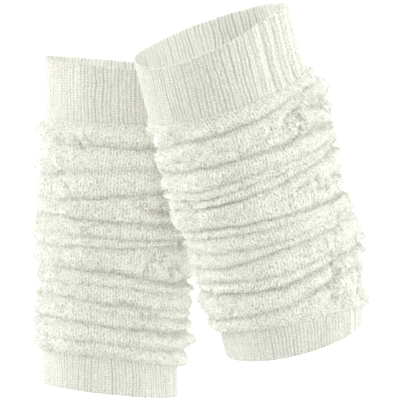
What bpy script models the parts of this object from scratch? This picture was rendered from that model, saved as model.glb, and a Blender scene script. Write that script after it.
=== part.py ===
"""A pair of slouched leg warmers, each a ribbed top band, a terry body and a ribbed cuff.

Metres, +Z up. The front faces -Y. The origin is the centre of the front leg warmer's top
band, where the leg holds it. Both tubes are hollow and open at the rim and at the hem.
"""

from collections import namedtuple

import bpy
import numpy as np
from mathutils import Vector

MM = 0.001
COLLECTION_NAME = "leg_warmers"

# Cloth
TERRY_WALL = 2.5
RIB_WALL = 1.6
RIB_HEIGHT = 1.2
SEAM_GAP = 0.3

# Ribs, the same count in every band because the pair is one knit
RIB_COUNT = 62
POINTS_PER_RIB = 2
RIB_POINTS_PER_INNER_POINT = 4
BAND_ROWS = 3
CUFF_ROWS = 2

# Widths across the outside of the ribbed pieces, halved
BAND_HALF_WIDTH = 57.0
CUFF_HALF_WIDTH = 47.4
BODY_EDGE_EASE = 0.6

# Folds of the body
BODY_COLUMNS = 32
PUFF_STEPS = (0.0, 0.22, 0.72)
LAST_PUFF_STEPS = (0.0, 0.22, 0.6, 0.9)
FULL_PUFF_HEIGHT = 9.0
BELLY_DROP_SHARE = 0.06
CREST_PLACE = 0.5
DROP_EASE_SHARE = 0.25

# Colours as linear values, with roughness
RIB_COLOUR = (0.80, 0.79, 0.73, 1.0)
TERRY_COLOUR = (0.84, 0.83, 0.77, 1.0)
KNIT_ROUGHNESS = 0.95

BACK = Vector((0.0, 1.0, 0.0))
FULL_TURN = 360.0

# A level is how far down the tube, in millimetres from the rim's centre, a seam or a
# fold runs at each of eight directions round it. Turn 0 is the front, +90 the right.
Level = namedtuple("Level", "left front_left front front_right right back_right back back_left")
LEVEL_TURNS = (-90.0, -45.0, 0.0, 45.0, 90.0, 135.0, 180.0, 225.0)

# How deep a fold is pressed in, or how far the last puff hangs, at the four sides
Sides = namedtuple("Sides", "left front right back")
SIDE_TURNS = (-90.0, 0.0, 90.0, 180.0)

Fold = namedtuple("Fold", "level depth")

# A section across the tube: distance down it, its centre's step to the right, half width
Section = namedtuple("Section", "down shift half_width")

LegWarmer = namedtuple(
    "LegWarmer",
    "name rim_centre hem_centre rim band_seam folds cuff_seam hem band body cuff overhang",
)

FRONT = LegWarmer(
    name="front",
    rim_centre=(-5.5, -2.4, 21.2),
    hem_centre=(49.9, 21.6, -193.2),
    rim=Level(4.6, 3.2, 0.0, -3.6, -5.2, -3.6, 0.0, 3.4),
    band_seam=Level(46.7, 46.0, 43.8, 41.7, 39.6, 40.5, 43.2, 46.0),
    folds=(
        Fold(Level(66.4, 59.3, 55.1, 48.5, 45.4, 47.5, 55.0, 64.0), Sides(3.5, 5.0, 3.0, 4.5)),
        Fold(Level(72.7, 69.2, 65.7, 60.5, 62.0, 60.0, 64.0, 70.5), Sides(0.5, 0.8, 4.5, 3.0)),
        Fold(Level(84.0, 78.3, 75.9, 74.8, 77.6, 76.0, 79.5, 84.5), Sides(4.5, 5.5, 5.0, 5.0)),
        Fold(Level(98.7, 97.3, 90.3, 87.6, 85.6, 91.0, 97.0, 101.0), Sides(4.0, 4.5, 3.5, 4.0)),
        Fold(Level(104.7, 102.6, 96.6, 92.2, 90.5, 97.5, 104.3, 107.0), Sides(3.5, 4.0, 1.0, 3.5)),
        Fold(Level(111.0, 108.9, 105.1, 97.4, 96.0, 104.0, 111.5, 113.0), Sides(5.0, 5.5, 5.0, 5.0)),
        Fold(Level(118.5, 116.3, 114.9, 112.8, 114.9, 116.5, 119.0, 120.5), Sides(1.0, 0.5, 3.5, 2.0)),
        Fold(Level(127.2, 124.2, 124.6, 127.4, 129.8, 130.5, 129.5, 128.5), Sides(4.5, 5.0, 5.0, 5.0)),
        Fold(Level(133.4, 130.2, 130.6, 132.9, 134.4, 137.5, 136.5, 135.0), Sides(4.0, 3.5, 0.5, 2.5)),
        Fold(Level(139.8, 142.0, 142.1, 139.4, 138.2, 143.5, 146.0, 143.5), Sides(4.0, 3.5, 1.5, 3.5)),
        Fold(Level(154.3, 152.6, 148.0, 144.6, 143.8, 149.5, 156.0, 157.5), Sides(4.5, 5.5, 4.5, 5.0)),
        Fold(Level(164.0, 162.5, 163.8, 160.0, 157.5, 160.5, 166.0, 167.0), Sides(4.0, 3.0, 1.0, 3.0)),
        Fold(Level(170.8, 171.0, 172.3, 165.9, 167.0, 170.5, 175.0, 174.8), Sides(5.5, 7.0, 5.0, 6.0)),
        Fold(Level(190.9, 189.5, 186.7, 178.3, 175.5, 182.0, 189.0, 192.0), Sides(4.5, 7.0, 5.5, 5.5)),
    ),
    cuff_seam=Level(200.8, 199.3, 200.1, 201.5, 206.5, 204.0, 201.5, 201.5),
    hem=Level(221.0, 221.8, 222.7, 222.4, 221.9, 222.0, 222.0, 221.4),
    band=(Section(0.0, 0.0, 57.0), Section(22.0, 0.1, 56.4), Section(45.0, 0.2, 56.8)),
    body=(
        Section(40.0, 1.0, 60.0),
        Section(52.0, 3.6, 61.0),
        Section(66.0, 5.7, 62.4),
        Section(87.0, 3.8, 61.2),
        Section(104.0, 3.6, 61.2),
        Section(118.0, 2.3, 60.7),
        Section(134.0, 3.2, 58.2),
        Section(145.0, 4.9, 59.2),
        Section(165.0, 5.2, 59.1),
        Section(178.0, 3.4, 58.4),
        Section(194.0, 2.3, 56.0),
        Section(204.0, 3.6, 54.2),
    ),
    cuff=(Section(200.0, 1.2, 47.4), Section(222.0, 0.6, 47.0)),
    overhang=Sides(2.0, 1.5, 8.0, 4.0),
)

REAR = LegWarmer(
    name="rear",
    rim_centre=(-65.3, 101.0, -6.2),
    hem_centre=(-77.9, 92.1, -239.0),
    rim=Level(-1.8, -1.6, 0.0, 1.4, 1.9, 1.4, 0.0, -1.4),
    band_seam=Level(41.6, 41.4, 40.8, 40.8, 41.3, 41.8, 42.0, 41.8),
    folds=(
        Fold(Level(56.0, 56.2, 55.7, 57.0, 58.4, 58.0, 56.0, 55.5), Sides(3.0, 5.0, 5.0, 4.5)),
        Fold(Level(79.4, 76.7, 70.7, 71.9, 72.6, 74.0, 78.0, 80.0), Sides(4.5, 4.0, 4.5, 4.5)),
        Fold(Level(93.6, 94.9, 90.6, 86.9, 86.8, 88.5, 92.5, 94.0), Sides(3.5, 5.0, 5.5, 4.5)),
        Fold(Level(101.5, 101.0, 100.3, 102.3, 102.6, 101.5, 101.0, 101.5), Sides(1.0, 1.0, 4.5, 2.0)),
        Fold(Level(108.6, 107.9, 109.8, 111.3, 112.0, 110.0, 109.0, 109.0), Sides(4.5, 5.5, 5.5, 5.0)),
        Fold(Level(119.0, 120.4, 121.6, 120.4, 120.2, 119.5, 119.0, 118.5), Sides(3.0, 4.0, 3.5, 3.5)),
        Fold(Level(128.4, 129.4, 127.6, 125.9, 126.4, 128.0, 130.0, 129.5), Sides(4.0, 5.0, 4.5, 4.5)),
        Fold(Level(145.5, 144.3, 146.0, 151.6, 150.5, 148.0, 146.0, 146.0), Sides(4.0, 5.5, 6.0, 5.0)),
        Fold(Level(158.0, 154.9, 155.3, 159.2, 160.4, 158.5, 157.0, 157.5), Sides(3.0, 3.0, 3.5, 3.5)),
        Fold(Level(167.5, 163.4, 167.0, 170.4, 171.2, 168.5, 166.5, 167.5), Sides(3.5, 5.0, 4.0, 4.5)),
        Fold(Level(173.0, 171.2, 173.9, 177.1, 177.8, 175.5, 173.5, 173.5), Sides(1.0, 1.5, 6.5, 2.5)),
        Fold(Level(180.0, 180.0, 183.7, 186.4, 186.3, 184.0, 181.5, 180.5), Sides(4.0, 5.0, 7.0, 5.0)),
        Fold(Level(193.1, 194.1, 195.4, 199.0, 199.8, 198.0, 195.0, 193.5), Sides(4.0, 5.0, 5.0, 4.5)),
    ),
    cuff_seam=Level(205.2, 205.1, 205.2, 209.2, 210.5, 208.0, 206.0, 205.2),
    hem=Level(229.4, 229.2, 230.6, 232.6, 233.6, 233.0, 231.5, 230.0),
    band=(Section(0.0, -1.4, 57.0), Section(22.0, -0.6, 56.6), Section(42.0, 1.0, 56.6)),
    body=(
        Section(42.0, 0.0, 60.2),
        Section(50.0, -0.5, 60.9),
        Section(62.0, 1.2, 59.4),
        Section(75.0, 0.0, 60.8),
        Section(104.0, 0.0, 60.4),
        Section(125.0, -1.6, 59.0),
        Section(146.0, -1.8, 56.2),
        Section(164.0, -1.1, 55.6),
        Section(180.0, -0.4, 56.4),
        Section(193.0, 1.8, 58.4),
        Section(206.0, -0.8, 54.2),
    ),
    cuff=(Section(205.0, -1.2, 47.8), Section(231.0, 0.4, 48.4)),
    overhang=Sides(1.0, 1.5, 4.0, 2.0),
)


def around(values, turns_of_values, turn):
    """Return the value at a turn from values at known turns, joined by a smooth closed curve."""
    knots = np.array(turns_of_values)
    heights = np.array(values)
    count = len(knots)
    steps = np.diff(np.append(knots, knots[0] + FULL_TURN))
    slopes = np.diff(np.append(heights, heights[0])) / steps
    place = (turn - knots[0]) % FULL_TURN
    starts = knots - knots[0]
    at = int(np.searchsorted(starts, place, side="right")) - 1
    after = (at + 1) % count

    def tangent(index):
        before_step = steps[index - 1]
        next_step = steps[index]
        return (slopes[index - 1] * next_step + slopes[index] * before_step) / (before_step + next_step)

    step = steps[at]
    t = (place - starts[at]) / step
    return (
        (2 * t**3 - 3 * t**2 + 1) * heights[at]
        + (t**3 - 2 * t**2 + t) * step * tangent(at)
        + (-2 * t**3 + 3 * t**2) * heights[after]
        + (t**3 - t**2) * step * tangent(after)
    )


def level_at(level, turn):
    """Return how far down the tube a seam or fold runs at a turn."""
    return around(level, LEVEL_TURNS, turn)


def side_value(sides, turn):
    """Return the value of four sides at a turn, never below zero."""
    return max(0.0, around(sides, SIDE_TURNS, turn))


def section_at(sections, down):
    """Return a section's step to the right and its half width at a distance down the tube."""
    downs = [row.down for row in sections]
    shift = np.interp(down, downs, [row.shift for row in sections])
    half_width = np.interp(down, downs, [row.half_width for row in sections])
    return shift, half_width


def tube_point(leg, turn, down, radius, shift):
    """Return the world place of a point of a tube, in metres."""
    rim = Vector(leg.rim_centre)
    along = (Vector(leg.hem_centre) - rim).normalized()
    right = along.cross(BACK).normalized()
    back = right.cross(along)
    angle = np.radians(turn)
    place = rim + along * down + right * (shift + radius * np.sin(angle)) - back * (radius * np.cos(angle))
    return place * MM


def knit_material(name, colour):
    """Return a plain matt knit material."""
    material = bpy.data.materials.new(name)
    material.use_nodes = True
    shader = material.node_tree.nodes["Principled BSDF"]
    shader.inputs["Base Color"].default_value = colour
    shader.inputs["Roughness"].default_value = KNIT_ROUGHNESS
    shader.inputs["Metallic"].default_value = 0.0
    return material


def add_object(name, points, faces, material, collection):
    """Make one object from points and faces."""
    mesh = bpy.data.meshes.new(name)
    mesh.from_pydata(points, [], faces)
    mesh.update()
    mesh.materials.append(material)
    piece = bpy.data.objects.new(name, mesh)
    collection.objects.link(piece)
    return piece


def ring_strip(first, second, count):
    """Return the faces between two closed rings of points, the first nearer the rim."""
    faces = []
    for i in range(count):
        after = (i + 1) % count
        faces.append((first + i, second + i, second + after, first + after))
    return faces


def ribbed_end(outer, inner, inner_count, faces_down):
    """Return the faces of a ribbed tube's end, between its ribbed outside and plain inside."""
    outer_count = inner_count * RIB_POINTS_PER_INNER_POINT
    middle = RIB_POINTS_PER_INNER_POINT // 2
    faces = []
    for i in range(inner_count):
        inner_here = inner + i
        inner_next = inner + (i + 1) % inner_count
        ribs = [outer + (i * RIB_POINTS_PER_INNER_POINT + k) % outer_count
                for k in range(RIB_POINTS_PER_INNER_POINT + 1)]
        for k in range(RIB_POINTS_PER_INNER_POINT):
            inner_point = inner_here if k < middle else inner_next
            faces.append((ribs[k], ribs[k + 1], inner_point))
        faces.append((inner_here, ribs[middle], inner_next))
    if faces_down:
        return [tuple(reversed(face)) for face in faces]
    return faces


def ribbed_tube(name, leg, top, bottom, sections, rows, gaps, material, collection):
    """Make a ribbed band between two levels: ribs outside, plain inside, open ends."""
    outer_count = RIB_COUNT * POINTS_PER_RIB
    inner_count = outer_count // RIB_POINTS_PER_INNER_POINT
    points = []

    def add_rings(count, ribbed):
        starts = []
        for row in range(rows):
            starts.append(len(points))
            share = row / (rows - 1)
            for i in range(count):
                turn = FULL_TURN * i / count
                high = level_at(top, turn) + gaps[0]
                low = level_at(bottom, turn) - gaps[1]
                down = high + (low - high) * share
                shift, radius = section_at(sections, down)
                if not ribbed:
                    radius -= RIB_HEIGHT + RIB_WALL
                elif i % POINTS_PER_RIB:
                    radius -= RIB_HEIGHT
                points.append(tube_point(leg, turn, down, radius, shift))
        return starts

    outer = add_rings(outer_count, True)
    inner = add_rings(inner_count, False)
    faces = []
    for row in range(rows - 1):
        faces += ring_strip(outer[row], outer[row + 1], outer_count)
        faces += [tuple(reversed(face)) for face in ring_strip(inner[row], inner[row + 1], inner_count)]
    faces += ribbed_end(outer[0], inner[0], inner_count, False)
    faces += ribbed_end(outer[-1], inner[-1], inner_count, True)
    return add_object(name, points, faces, material, collection)


def puff_side(distance):
    """Return how much of a fold's depth is left at a share of the way to the puff's crest."""
    reach = min(1.0, distance)
    return 1.0 - np.sqrt(max(0.0, 1.0 - (1.0 - reach) ** 2))


def body_column(leg, turn):
    """Return the outside points of the terry body at one turn, from band seam to cuff seam."""
    seam_half_width = BAND_HALF_WIDTH + BODY_EDGE_EASE
    cuff_half_width = CUFF_HALF_WIDTH + BODY_EDGE_EASE
    levels = [level_at(leg.band_seam, turn) + SEAM_GAP]
    levels += [level_at(fold.level, turn) for fold in leg.folds]
    levels.append(level_at(leg.cuff_seam, turn))
    depths = [section_at(leg.body, levels[0])[1] - seam_half_width]
    depths += [side_value(fold.depth, turn) for fold in leg.folds]
    depths.append(section_at(leg.body, levels[-1])[1] - cuff_half_width)
    band_shift = section_at(leg.band, levels[0])[0]
    cuff_shift = section_at(leg.cuff, levels[-1])[0]
    last = len(levels) - 2
    column = []
    for puff in range(last + 1):
        high, low = levels[puff], levels[puff + 1]
        above, below = depths[puff], depths[puff + 1]
        narrow = 1.0 - min(1.0, (low - high) / FULL_PUFF_HEIGHT)
        crest = min(above, below) * narrow
        steps = LAST_PUFF_STEPS if puff == last else PUFF_STEPS
        for t in steps:
            upper = puff_side(t / CREST_PLACE)
            lower = puff_side((1.0 - t) / CREST_PLACE)
            drop = BELLY_DROP_SHARE * (low - high)
            if puff == last:
                drop += side_value(leg.overhang, turn)
            hang = (1.0 - upper) * (1.0 - puff_side((1.0 - t) / DROP_EASE_SHARE))
            down = high + (low - high) * t + drop * t * hang
            shift, half_width = section_at(leg.body, min(down, leg.body[-1].down))
            radius = half_width - crest - (above - crest) * upper - (below - crest) * lower
            if puff == 0:
                shift += (band_shift - shift) * upper
            if puff == last:
                shift += (cuff_shift - shift) * lower
            column.append(tube_point(leg, turn, down, radius, shift))
    column.append(tube_point(leg, turn, levels[-1], cuff_half_width, cuff_shift))
    return column


def terry_body(leg, material, collection):
    """Make the slouched terry tube: an open surface through its folds, then its wall."""
    columns = [body_column(leg, FULL_TURN * i / BODY_COLUMNS) for i in range(BODY_COLUMNS)]
    rings = len(columns[0])
    points = [columns[i][ring] for ring in range(rings) for i in range(BODY_COLUMNS)]
    faces = []
    for ring in range(rings - 1):
        faces += ring_strip(ring * BODY_COLUMNS, (ring + 1) * BODY_COLUMNS, BODY_COLUMNS)
    body = add_object(leg.name + "_body", points, faces, material, collection)
    body.data.shade_smooth()
    wall = body.modifiers.new("wall", "SOLIDIFY")
    wall.thickness = TERRY_WALL * MM
    wall.offset = -1.0
    wall.use_rim = True
    return body


def leg_warmer(leg, rib, terry, collection):
    """Make the three sewn pieces of one leg warmer."""
    ribbed_tube(leg.name + "_top_band", leg, leg.rim, leg.band_seam, leg.band, BAND_ROWS,
                (0.0, 0.0), rib, collection)
    terry_body(leg, terry, collection)
    ribbed_tube(leg.name + "_bottom_cuff", leg, leg.cuff_seam, leg.hem, leg.cuff, CUFF_ROWS,
                (SEAM_GAP, 0.0), rib, collection)


def main():
    """Clear the scene and make both leg warmers."""
    for old in list(bpy.data.objects):
        bpy.data.objects.remove(old, do_unlink=True)
    collection = bpy.data.collections.new(COLLECTION_NAME)
    bpy.context.scene.collection.children.link(collection)
    rib = knit_material("rib_knit", RIB_COLOUR)
    terry = knit_material("terry_knit", TERRY_COLOUR)
    for leg in (FRONT, REAR):
        leg_warmer(leg, rib, terry, collection)


main()
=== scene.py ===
"""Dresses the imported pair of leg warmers: ribbed bands, slouched terry bodies, light and camera.

Sizes in the tables are millimetres and degrees, as the maker measures them. A place on a tube
is a turn round it, 0 at the front and 90 at the right, and a distance down it from the rim.
"""

import logging
import math
from dataclasses import astuple, dataclass
from enum import Enum

import bpy
import numpy as np
from bpy.types import Material, Mesh, Node, NodeTree, Object
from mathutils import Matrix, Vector


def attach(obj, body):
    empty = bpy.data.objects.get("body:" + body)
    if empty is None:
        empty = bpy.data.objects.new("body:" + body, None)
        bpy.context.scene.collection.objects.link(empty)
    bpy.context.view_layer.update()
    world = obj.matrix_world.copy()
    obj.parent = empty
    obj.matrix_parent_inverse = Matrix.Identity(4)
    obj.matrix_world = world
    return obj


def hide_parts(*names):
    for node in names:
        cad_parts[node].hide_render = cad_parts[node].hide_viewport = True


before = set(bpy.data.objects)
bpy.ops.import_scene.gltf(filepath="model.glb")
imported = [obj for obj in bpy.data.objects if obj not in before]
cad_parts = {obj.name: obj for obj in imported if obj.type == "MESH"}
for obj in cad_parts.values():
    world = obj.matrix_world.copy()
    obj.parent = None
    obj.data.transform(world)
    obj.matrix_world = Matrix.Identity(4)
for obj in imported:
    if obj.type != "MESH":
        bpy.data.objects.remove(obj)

MM = 0.001
FULL_TURN = 360.0
HALF_TURN = 180.0
TINY = 1e-12
BODY_NAME = "root"
PLACE_NAME = "cloth_mm"
HOLLOW_AND_SHADE_NAME = "hollow"
SHADER_NAME = "Principled BSDF"
RIBS = 62
COLUMNS_PER_RIB = 10
WALES = 160
SUBJECT_CENTRE = (-0.0134, 0.055, -0.0989)
FLOOR_DOWN = -0.55
# how finely a noise texture is drawn for spun yarn, and the span of values that most of it takes
NOISE_DETAIL = 2.0
SPUN_YARN = {"Detail": NOISE_DETAIL, "Roughness": 0.75}
NOISE_SPAN = {"From Min": 0.3, "From Max": 0.7}

log = logging.getLogger("leg_warmers")


class Hold(Enum):
    """How the wearer's leg holds a piece of cloth."""

    STRETCHED = "stretched"
    GATHERED = "gathered"


class Slot(Enum):
    """The record's material slots."""

    RIB = "rib_knit"
    TERRY = "terry_knit"


@dataclass(frozen=True)
class Level:
    """How far down a seam or crease runs at eight directions round the tube."""

    left: float
    front_left: float
    front: float
    front_right: float
    right: float
    back_right: float
    back: float
    back_left: float

    TURNS = (-90.0, -45.0, 0.0, 45.0, 90.0, 135.0, 180.0, 225.0)

    def at(self, turn: np.ndarray) -> np.ndarray:
        """Return the distance down at each turn."""
        return around(astuple(self), self.TURNS, turn)


@dataclass(frozen=True)
class Sides:
    """A depth at the four sides of the tube."""

    left: float
    front: float
    right: float
    back: float

    TURNS = (-90.0, 0.0, 90.0, 180.0)

    def at(self, turn: np.ndarray) -> np.ndarray:
        """Return the depth at each turn, never below nothing."""
        return np.maximum(around(astuple(self), self.TURNS, turn), 0.0)


@dataclass(frozen=True)
class Fold:
    """A crease that the terry is pushed into: where it runs and how deep it is."""

    level: Level
    depth: Sides


@dataclass(frozen=True)
class Section:
    """A section across the tube: distance down, its centre's step right, half its width."""

    down: float
    shift: float
    half_width: float


@dataclass(frozen=True)
class Pinch:
    """A short crumple between two places, pressed in by depth, or pushed out below nothing."""

    turn: float
    down: float
    to_turn: float
    to_down: float
    width: float
    depth: float


@dataclass(frozen=True)
class Flutes:
    """Soft upright waves in a ribbed band: from one turn to another, each so wide and deep."""

    start: float
    end: float
    width: float
    depth: float


@dataclass(frozen=True)
class Wave:
    """A grain of unevenness: its cells round the tube, a cell's height and its strength."""

    cells: int
    tall: float
    strength: float = 1.0


@dataclass(frozen=True)
class LegShape:
    """All the measures of one leg warmer, filled out as on a leg."""

    name: str
    rim_centre: tuple
    hem_centre: tuple
    rim: Level
    band_seam: Level
    folds: tuple
    cuff_seam: Level
    hem: Level
    band: tuple
    body: tuple
    cuff: tuple
    overhang: Sides
    band_step: Sides
    cuff_step: Sides
    cuff_taper: Sides
    rumple: Sides
    rib_height: float
    pinches: tuple
    flutes: Flutes
    cuff_flutes: Flutes | None
    body_flat: tuple
    seed: int


def table(kind: type, *rows: tuple) -> tuple:
    """Turn a table's rows into records, whose fields are the table's columns in order."""
    return tuple(kind(*row) for row in rows)


def fold_table(*rows: tuple) -> tuple:
    """Turn rows of eight distances down and four depths into folds."""
    return tuple(Fold(Level(*level), Sides(*depth)) for level, depth in rows)


FRONT = LegShape(
    name="front",
    rim_centre=(-5.5, -2.4, 21.2),
    hem_centre=(49.9, 21.6, -193.2),
    rim=Level(4.6, 8.0, 2.2, -6.0, -5.6, -3.6, 0.0, 3.4),
    band_seam=Level(48.0, 47.4, 45.0, 42.2, 39.6, 40.5, 43.8, 47.0),
    folds=fold_table(
        ((69.4, 62.7, 58.0, 49.9, 46.0, 48.5, 57.0, 66.5), (3.5, 5.0, 6.5, 4.5)),
        ((75.2, 71.7, 67.7, 62.2, 62.5, 61.5, 66.0, 73.0), (0.2, 0.3, 4.5, 3.0)),
        ((87.0, 81.5, 78.9, 77.2, 78.2, 77.5, 82.0, 87.0), (4.5, 5.5, 5.0, 5.0)),
        ((98.7, 97.3, 91.8, 90.2, 87.6, 92.0, 97.5, 101.0), (4.0, 4.5, 3.5, 4.0)),
        ((104.7, 103.2, 98.0, 94.0, 92.2, 98.0, 104.3, 107.0), (3.5, 4.0, 1.0, 3.5)),
        ((111.0, 108.9, 105.1, 97.4, 96.0, 104.0, 111.5, 113.0), (5.0, 5.5, 5.0, 5.0)),
        ((118.5, 116.3, 114.9, 112.8, 114.9, 116.5, 119.0, 120.5), (1.0, 0.5, 3.5, 2.0)),
        ((128.4, 124.4, 124.6, 127.4, 129.8, 130.5, 129.5, 129.0), (4.5, 5.0, 5.0, 5.0)),
        ((134.0, 130.2, 130.6, 131.4, 133.6, 137.0, 136.5, 135.4), (4.4, 3.0, 0.0, 2.5)),
        ((139.8, 142.0, 142.1, 139.4, 138.2, 143.5, 146.0, 143.5), (4.0, 3.5, 0.4, 3.5)),
        ((154.9, 152.8, 148.0, 144.9, 143.8, 149.5, 156.0, 157.8), (4.5, 5.5, 5.2, 5.0)),
        ((164.4, 162.7, 163.6, 160.0, 157.5, 160.5, 166.0, 167.0), (3.0, 3.3, 0.6, 3.0)),
        ((170.8, 171.0, 172.3, 165.9, 167.0, 170.5, 175.0, 174.8), (5.0, 5.8, 5.0, 5.5)),
        ((190.9, 189.5, 186.7, 178.3, 175.5, 182.0, 189.0, 192.0), (4.2, 6.2, 5.5, 5.5)),
    ),
    cuff_seam=Level(200.8, 199.3, 200.1, 202.0, 208.0, 205.0, 201.5, 201.5),
    hem=Level(221.0, 221.8, 222.7, 222.4, 221.9, 222.0, 222.0, 221.4),
    band=table(Section, (0.0, 0.0, 57.0), (22.0, 0.1, 56.4), (45.0, 0.2, 56.8)),
    body=table(
        Section,
        (40.0, 1.0, 60.0), (52.0, 3.6, 61.0), (66.0, 5.7, 62.4), (87.0, 3.8, 61.2),
        (104.0, 3.6, 61.2), (118.0, 2.3, 60.7), (134.0, 3.2, 58.2), (145.0, 4.9, 59.2),
        (165.0, 5.2, 59.1), (178.0, 3.0, 58.2), (194.0, 1.6, 55.3), (204.0, 3.0, 53.8),
    ),
    cuff=table(Section, (200.0, 5.0, 51.2), (212.0, 3.9, 50.2), (222.0, 2.4, 48.6)),
    overhang=Sides(2.0, 1.5, 12.0, 4.0),
    band_step=Sides(0.15, 0.0, 1.7, 0.7),
    cuff_step=Sides(0.9, 0.35, 0.3, 0.7),
    cuff_taper=Sides(0.0, 2.5, 1.5, 2.0),
    rumple=Sides(7.0, 0.8, 7.6, 3.4),
    rib_height=0.65,
    pinches=table(
        Pinch,
        (38.0, 60.0, 39.0, 64.0, 1.1, 1.8), (31.5, 60.0, 37.5, 59.0, 1.0, 1.3),
        (28.0, 61.5, 27.5, 66.5, 1.1, 1.6), (27.5, 66.5, 24.5, 65.5, 0.9, 0.9),
        (38.0, 65.5, 36.0, 73.5, 1.1, 1.5), (36.0, 73.5, 30.5, 76.5, 1.4, 2.0),
        (41.0, 75.5, 48.5, 76.0, 1.4, 1.8), (46.5, 68.0, 45.5, 73.5, 0.9, 1.2),
        (46.0, 55.5, 52.0, 51.5, 0.9, 1.2), (37.0, 58.5, 46.0, 55.5, 0.9, 1.4),
        (50.5, 58.0, 66.0, 64.5, 1.3, 2.4), (56.0, 56.0, 78.0, 62.0, 2.0, 3.2),
        (52.0, 74.0, 80.0, 81.0, 1.4, 2.4), (62.0, 96.5, 81.0, 92.5, 2.4, 3.4),
        (11.5, 71.0, 16.5, 64.0, 1.0, 0.8), (72.5, 44.5, 56.5, 52.5, 2.4, -2.0),
        (56.5, 52.5, 46.5, 58.0, 1.8, -1.6), (45.0, 63.5, 40.5, 72.5, 1.8, -1.8),
        (27.5, 68.5, 33.5, 72.0, 2.0, -1.3), (52.5, 64.5, 60.5, 70.0, 1.6, -1.4),
        (35.0, 65.5, 32.0, 68.0, 1.6, -0.8), (37.0, 106.5, 44.0, 107.5, 1.2, 1.8),
        (44.0, 107.5, 45.0, 112.0, 1.0, 1.3), (27.5, 109.5, 35.5, 109.5, 1.1, 1.7),
        (26.0, 109.5, 24.5, 115.5, 0.8, 0.8), (35.5, 110.0, 38.0, 114.5, 0.9, 1.0),
        (43.5, 115.5, 52.0, 119.0, 1.0, 1.3), (51.0, 119.0, 52.5, 111.5, 0.9, 1.0),
        (60.5, 125.5, 73.5, 129.5, 1.3, 1.8), (62.5, 111.5, 88.0, 119.0, 1.3, 1.8),
        (55.5, 141.0, 61.5, 137.5, 1.1, 1.5), (56.5, 142.5, 54.5, 150.0, 0.9, 1.0),
        (50.5, 145.0, 46.0, 153.5, 0.9, 1.0), (23.0, 99.5, 23.0, 116.0, 1.8, -0.9),
        (35.0, 113.5, 45.0, 122.0, 2.0, -1.1), (56.0, 130.5, 67.5, 131.5, 1.6, -1.0),
        (38.0, 115.5, 38.5, 124.5, 0.9, 0.8), (66.5, 114.5, 65.5, 122.0, 1.8, -1.0),
        (70.0, 137.5, 70.0, 146.5, 1.0, 1.0), (39.5, 163.0, 38.5, 178.0, 1.3, 1.6),
        (45.0, 174.5, 39.0, 184.0, 1.2, 2.2), (47.5, 190.5, 46.5, 199.5, 1.1, 1.5),
        (70.0, 180.5, 71.0, 193.5, 1.0, 1.4), (71.0, 159.0, 68.0, 167.5, 1.0, 1.2),
        (56.5, 165.5, 46.0, 164.5, 1.2, 1.6), (34.0, 180.0, 36.5, 191.0, 0.9, 1.0),
        (47.5, 168.5, 51.5, 175.0, 0.9, 1.0), (62.5, 168.0, 66.0, 176.5, 1.0, 1.2),
        (68.0, 169.0, 61.5, 183.5, 1.8, -1.5), (52.5, 176.0, 48.0, 185.5, 1.8, -1.4),
        (42.5, 186.5, 43.0, 196.5, 1.4, -1.2), (27.5, 145.5, 23.0, 161.5, 1.6, -0.7),
        (56.5, 192.0, 55.0, 202.5, 1.4, -1.0), (36.0, 149.5, 38.5, 159.0, 1.0, 0.8),
        (79.0, 157.0, 83.0, 171.0, 2.2, -1.0), (83.0, 172.0, 78.0, 197.0, 2.4, -1.0),
        (72.0, 161.0, 74.0, 176.0, 1.2, 1.3), (74.0, 181.0, 70.0, 199.0, 1.2, 1.4),
        (76.0, 66.0, 90.0, 56.0, 1.8, -1.5), (70.0, 70.0, 84.0, 71.5, 1.3, 1.5),
        (-44.0, 43.5, -53.5, 53.0, 1.6, -1.0), (-65.5, 42.0, -88.5, 55.5, 2.4, -1.4),
        (-77.5, 82.5, -64.5, 82.5, 1.2, 1.4), (-55.5, 79.5, -55.0, 83.5, 1.2, 1.2),
        (-53.5, 106.5, -49.0, 109.0, 1.2, 1.2), (-64.5, 143.5, -64.0, 150.5, 1.2, 0.9),
        (-87.5, 149.5, -78.5, 146.0, 1.2, 1.0), (-57.5, 167.0, -65.5, 174.5, 1.2, 0.9),
        (-9.0, 78.0, -1.0, 73.5, 0.9, 0.5), (-18.5, 90.0, -7.5, 86.5, 0.9, 0.5),
    ),
    flutes=Flutes(start=20.0, end=115.0, width=11.5, depth=3.6),
    cuff_flutes=Flutes(start=46.0, end=118.0, width=9.0, depth=1.8),
    body_flat=(0.377, 0.232),
    seed=11,
)

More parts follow.
